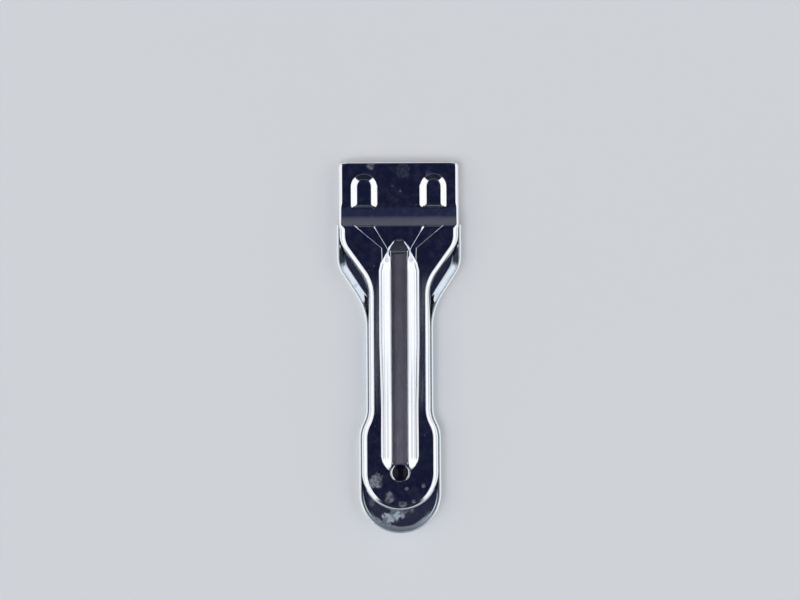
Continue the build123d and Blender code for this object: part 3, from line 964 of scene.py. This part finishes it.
def specks(f, mm, strength=0.5):
    """Rare small specks of uneven size and strength."""
    far, tone = f.dots(mm, 0.42)
    draw = f.node("ShaderNodeSeparateColor")
    f.link(tone, draw.inputs["Color"])
    largest = 0.11
    radius = f.between(draw.outputs["Red"], 0.7, 1.0, 0.0, largest, soft=False)
    inside = f.math("MULTIPLY", f.math("LESS_THAN", far, radius), draw.outputs["Green"])
    return f.math("MULTIPLY", inside, strength)


def stains(f, mm, marks):
    """Dried marks, each given as its place, radius and strength."""
    patch = f.between(f.noise(mm, 0.6, 2.5, 0.5), 0.36, 0.6, 0.35, 1.0)
    wobble = f.noise(mm, 0.26, 2.5, 0.55)
    found = 0.0
    for x, y, radius, strength in marks:
        here = f.math("MULTIPLY", f.spot(x, y, radius, wobble), strength)
        found = f.math("MAXIMUM", here, found)
    return f.math("MULTIPLY", found, patch)


def streaked(f, rear, ahead, strength, fade=12):
    """Rubbed streaks between two places along Y, fading out beyond them."""
    y = f.along_y()
    zone = f.math(
        "MULTIPLY", f.between(y, rear - fade, rear), f.between(y, ahead + fade, ahead)
    )
    streaks = f.noise(f.at((1500, 45, 1000)), 1.0, 4, 0.6)
    streaks = f.math("MULTIPLY", f.between(streaks, 0.35, 0.7, 0.15, 1.0), zone)
    return f.math("MULTIPLY", streaks, strength)


def filmed(f, haze, centre_y, radius, strength):
    """A film on a round end, beyond an uneven radius and behind its centre."""
    uneven = f.math("ADD", f.away_from(0, centre_y), f.math("MULTIPLY", haze, 1.6))
    beyond = f.between(uneven, radius + 0.5, radius + 1.4, 0.0, strength)
    behind = f.between(f.along_y(), centre_y - 6, centre_y - 11)
    return f.math("MULTIPLY", beyond, behind)


def chrome(name, color, roughness, marks, film, bloom=0.0, rubbed=None, end=None):
    """Bright plate with a slow waviness, hairline scratches, specks and a few dried marks.

    Where it is dull it takes the film's colour; bloom dulls it all over. A rubbed stretch
    is given by its two places along Y and its strength, a filmed end by its centre on the
    middle line, its radius and its strength.
    """
    haze_share, grain_share = 0.022, 0.016
    f = Finish(name, color, 1.0, roughness)
    mm = f.at()
    haze = f.noise(mm, 0.35, 6, 0.65)
    scratch = hairlines(f, mm)
    dull = f.math("MULTIPLY", f.between(haze, 0.42, 0.75), haze_share)
    grain = f.between(f.noise(mm, 2.2, 3, 0.6), 0.45, 0.75)
    dull = f.math("ADD", dull, f.math("MULTIPLY", grain, grain_share))
    dull = f.math("MAXIMUM", f.math("ADD", dull, bloom), specks(f, mm))
    if rubbed is not None:
        dull = f.math("MAXIMUM", dull, streaked(f, *rubbed))
    if end is not None:
        dull = f.math("MAXIMUM", dull, filmed(f, haze, *end))
    dull = f.math("MAXIMUM", dull, stains(f, mm, marks))
    f.feed(f.mix(dull, color, film), "Base Color")
    f.feed(f.math("SUBTRACT", 1.0, f.math("MULTIPLY", dull, 0.8)), "Metallic")
    rough = f.math("ADD", roughness, f.math("MULTIPLY", haze, 0.03))
    rough = f.math("ADD", rough, f.math("MULTIPLY", dull, 0.35))
    f.feed(f.math("ADD", rough, f.math("MULTIPLY", scratch, 0.12)), "Roughness")
    wave_height, scratch_depth = 0.06 * MM, 0.004 * MM
    wave = f.bump(f.noise(mm, 0.16, 3, 0.5), wave_height, 0.6)
    f.feed(f.bump(scratch, scratch_depth, 0.5, wave), "Normal")
    return f.material


def brushed(name, color, roughness, painted_shade=None, polished=None):
    """Rolled or brushed steel: fine lines along the part, and slow changes of tone.

    It can take painted shade, darkening it between two places along Y by a share given last. Inside
    a polished circle, given as its centre on the middle line and its radius, it shines.
    """
    tone = 0.12
    f = Finish(name, color, 1.0, roughness)
    lines = f.noise(f.at((14000, 260, 1000)), 1.0, 5, 0.65)
    slow = f.noise(f.at(), 0.14, 4, 0.6)
    shade = f.math("ADD", f.math("MULTIPLY", lines, 0.5), f.math("MULTIPLY", slow, 0.5))
    dark = tuple(c * (1 - tone) for c in color)
    light = tuple(min(1, c * (1 + tone)) for c in color)
    tint = f.mix(f.between(shade, 0.35, 0.65), dark, light)
    if painted_shade is not None:
        # Painted shade: the steel is darkened in a straight ramp from the rear place to the one
        # ahead
        rear, ahead, share = painted_shade
        shade_share = f.between(f.along_y(), rear, ahead, 0.0, share, soft=False)
        tint = f.mix(shade_share, tint, (0.0, 0.0, 0.0))
    rough = f.between(lines, 0.3, 0.7, roughness - 0.06, roughness + 0.08)
    if polished is not None:
        centre_y, radius = polished
        shine = f.between(f.away_from(0, centre_y), radius + 0.02, radius - 0.02)
        tint = f.mix(shine, tint, (0.92, 0.92, 0.94))
        rough = f.math("MULTIPLY", rough, f.between(shine, 0, 1, 1.0, 0.2))
    f.feed(tint, "Base Color")
    f.feed(rough, "Roughness")
    f.feed(f.bump(lines, 0.008 * MM, 0.6), "Normal")
    return f.material


def gloss_black():
    """Black with a soft gloss and a faint unevenness."""
    f = Finish("button_black", (0.004, 0.004, 0.011), 0.0, 0.1)
    f.shader.inputs["Specular IOR Level"].default_value = 0.14
    cloud = f.noise(f.at(), 1.4, 4)
    f.feed(f.mix(cloud, (0.002, 0.002, 0.007), (0.006, 0.006, 0.016)), "Base Color")
    f.feed(f.between(cloud, 0.3, 0.7, 0.05, 0.12), "Roughness")
    f.feed(f.bump(f.noise(f.at(), 5.0, 3), 0.01 * MM, 0.3), "Normal")
    return f.material


def ground_blade():
    """Strip steel along its length, with a brighter ground bevel at the cutting edge."""
    bevel_y = 70.1
    f = Finish("blade_steel", (0.7, 0.7, 0.71), 1.0, 0.25)
    along_lines = f.noise(f.at((60, 9000, 1000)), 1.0, 4, 0.55)
    across_lines = f.noise(f.at((16000, 500, 1000)), 1.0, 4, 0.6)
    bevel = f.between(f.along_y(), bevel_y, bevel_y + 0.1)
    body = f.mix(f.between(along_lines, 0.3, 0.7), (0.64, 0.64, 0.66), (0.7, 0.7, 0.71))
    edge = f.mix(f.between(across_lines, 0.35, 0.65), (0.78, 0.78, 0.8), (0.9, 0.9, 0.91))
    f.feed(f.mix(bevel, body, edge), "Base Color")
    f.feed(f.between(along_lines, 0.3, 0.7, 0.24, 0.3), "Roughness")
    f.feed(f.bump(along_lines, 0.002 * MM, 0.12), "Normal")
    return f.material


def wear(piece, material):
    """Gives a piece one material in place of all it has."""
    piece.data.materials.clear()
    piece.data.materials.append(material)


# Light, floor and camera
def make_studio():
    """White panels left and right, grey ends, a dark strip overhead and a pale horizon."""
    world = bpy.data.worlds.new("studio")
    bpy.context.scene.world = world
    world.use_nodes = True
    sky = Nodes(world.node_tree)
    parts = sky.node("ShaderNodeSeparateXYZ")
    sky.link(sky.node("ShaderNodeTexCoord").outputs["Generated"], parts.inputs["Vector"])
    x, y, z = parts.outputs["X"], parts.outputs["Y"], parts.outputs["Z"]
    side, ahead = sky.math("ABSOLUTE", x), sky.math("ABSOLUTE", y)

    # From overhead to the horizon in front: dark, blue, a grey band, dark; and behind
    overhead = (0.0068, 0.0093, 0.033)
    color = overhead
    for low, high, further in (
        (0.1, 0.2, (0.017, 0.022, 0.06)),
        (0.34, 0.56, (0.116, 0.118, 0.14)),
        (0.58, 0.69, (0.013, 0.015, 0.03)),
    ):
        color = sky.mix(sky.between(y, low, high), color, further)
    backward = sky.between(sky.math("MULTIPLY", y, -1.0), 0.2, 0.6)
    color = sky.mix(backward, color, (0.016, 0.028, 0.045))

    # The panels: where they start on each side, and the slanting lines where they end,
    # which lie further back behind
    shifted = sky.math("ADD", side, sky.math("MULTIPLY", sky.math("SIGN", x), -0.045))
    cut = sky.math("SUBTRACT", sky.math("MULTIPLY", side, 1.12), ahead)
    longer = sky.math(
        "MULTIPLY", sky.math("LESS_THAN", y, 0.0), sky.between(cut, -0.24, 0.05)
    )
    cut = sky.math("MINIMUM", sky.math("ADD", sky.between(cut, -0.05, 0.05), longer), 1.0)
    panel = sky.math("MULTIPLY", sky.between(shifted, 0.33, 0.42), cut)

    # A grey seam divides them, and low down they are a little less white
    seam = sky.math("SUBTRACT", sky.between(side, 0.5, 0.53), sky.between(side, 0.56, 0.59))
    white = sky.mix(seam, (1.22, 1.22, 1.24), (0.5, 0.5, 0.52))
    white = sky.mix(sky.between(side, 0.91, 0.96), white, (0.84, 0.85, 0.87))
    color = sky.mix(panel, color, white)
    color = sky.mix(sky.between(z, 0.22, 0.08), color, (0.62, 0.66, 0.7))
    background = world.node_tree.nodes["Background"]
    sky.link(color, background.inputs["Color"])
    background.inputs["Strength"].default_value = 1.0


def make_lamp():
    """A broad soft light from above, which doesn't show in the metal."""
    deselect()
    tilt = (radians(18), radians(-14), 0)
    bpy.ops.object.light_add(type="SUN", location=(0, 0, 1), rotation=tilt)
    lamp = bpy.context.object
    lamp.name = "soft_overhead"
    lamp.data.energy = 1.3
    lamp.data.angle = radians(50)
    lamp.visible_glossy = False


def make_floor():
    """A pale matt floor just under the scraper, which shows in the metal as white."""
    gap = 0.02 * MM
    floor_width = 6
    deselect()
    bpy.ops.mesh.primitive_plane_add(size=floor_width, location=(0, 0, -gap))
    floor = named("floor")
    f = Finish("pale_floor", (0.7, 0.715, 0.74), 0.0, 0.6)
    tone = f.noise(f.at((1, 1, 1)), 3.0, 2)
    f.feed(f.mix(tone, (0.69, 0.705, 0.73), (0.71, 0.725, 0.75)), "Base Color")
    f.shader.inputs["Specular IOR Level"].default_value = 0.2
    path = f.node("ShaderNodeLightPath")
    white = f.node("ShaderNodeEmission")
    either = f.node("ShaderNodeMixShader")
    f.link(path.outputs["Is Glossy Ray"], either.inputs["Fac"])
    f.link(f.shader.outputs["BSDF"], either.inputs[1])
    f.link(white.outputs["Emission"], either.inputs[2])
    f.link(either.outputs["Shader"], f.tree.nodes["Material Output"].inputs["Surface"])
    wear(floor, f.material)


def make_camera():
    """Straight above the scraper, with the blade end up in the picture."""
    picture_width = 310.8
    lens, sensor = 135.0, 36.0
    distance = picture_width * lens / sensor
    aim_x, aim_y, aim_z = 0.3, 18.7, 5
    deselect()
    bpy.ops.object.camera_add(
        location=(aim_x * MM, aim_y * MM, (distance + aim_z) * MM),
        rotation=(0, 0, radians(-0.32)),
    )
    camera = bpy.context.object
    camera.name = "camera_above"
    camera.data.lens = lens
    camera.data.sensor_width = sensor
    camera.data.clip_start = 0.05
    camera.data.clip_end = 20
    bpy.context.scene.camera = camera


bpy.context.scene.view_settings.view_transform = "Standard"
make_studio()
make_lamp()
make_floor()
make_camera()

cover = make_cover()
cover_marks = [
    (-9.2, -51.0, 3.5, 0.34), (-8.4, -53.4, 1.6, 0.4), (-4.0, -58.4, 1.9, 0.26),
    (2.4, -54.6, 0.7, 0.24), (8.8, -53.6, 0.8, 0.2), (5.4, -59.4, 0.8, 0.26),
    (0.6, -60.6, 1.4, 0.2), (-10.5, 70.8, 1.7, 0.2), (2.0, 69.0, 3.2, 0.045),
    (11.0, 67.8, 1.8, 0.045), (-13.4, 27.0, 0.9, 0.3), (0.6, 61.0, 0.5, 0.3),
]
wear(cover, chrome(
    "cover_chrome", (0.82, 0.84, 0.88), 0.05, cover_marks,
    film=(0.28, 0.4, 0.62), rubbed=(-16.0, 20.0, 0.15),
))
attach(cover, "cover")
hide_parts("cover_shell")

tray = make_tray()
tray_marks = [
    (-4.4, -66.4, 2.3, 0.85), (-2.0, -65.8, 2.0, 0.9), (0.8, -65.6, 1.6, 0.5),
    (-2.8, -63.4, 1.8, 0.32), (1.4, -63.3, 2.0, 0.26), (4.4, -63.0, 1.6, 0.22),
    (-4.2, -68.6, 1.0, 0.5), (-11.4, -60.4, 1.4, 0.16), (-3.0, -66.7, 1.6, 0.85),
    (-0.9, -65.4, 1.6, 0.85),
]
wear(tray, chrome(
    "tray_chrome", (0.76, 0.82, 0.87), 0.08, tray_marks,
    film=(0.38, 0.5, 0.6), bloom=0.028, end=(tray_end_y, 13.3, 0.5),
))
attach(tray, "carrier")
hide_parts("tray")

bar = make_lock_bar()
# The spring steel carries painted shade, growing darker towards the front of the strip
wear(bar, brushed(
    "spring_steel", (0.58, 0.55, 0.65), 0.42, painted_shade=(-45.0, 35.0, 0.3), polished=(eye_y, 3.55),
))
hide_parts("lock_bar")
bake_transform(bar)

button = make_button()
wear(button, gloss_black())
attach(button, "button")
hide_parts("lock_button")

plate_finish = brushed("plate_steel", (0.62, 0.62, 0.63), 0.32)
rivet_finish = brushed("rivet_steel", (0.66, 0.66, 0.67), 0.28)
blade_finish = ground_blade()
for name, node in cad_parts.items():
    if name == "blade":
        wear(node, blade_finish)
    elif name == "runner_plate" or name.startswith("spacer"):
        wear(node, plate_finish)
    elif "rivet" in name or "peg" in name:
        wear(node, rivet_finish)
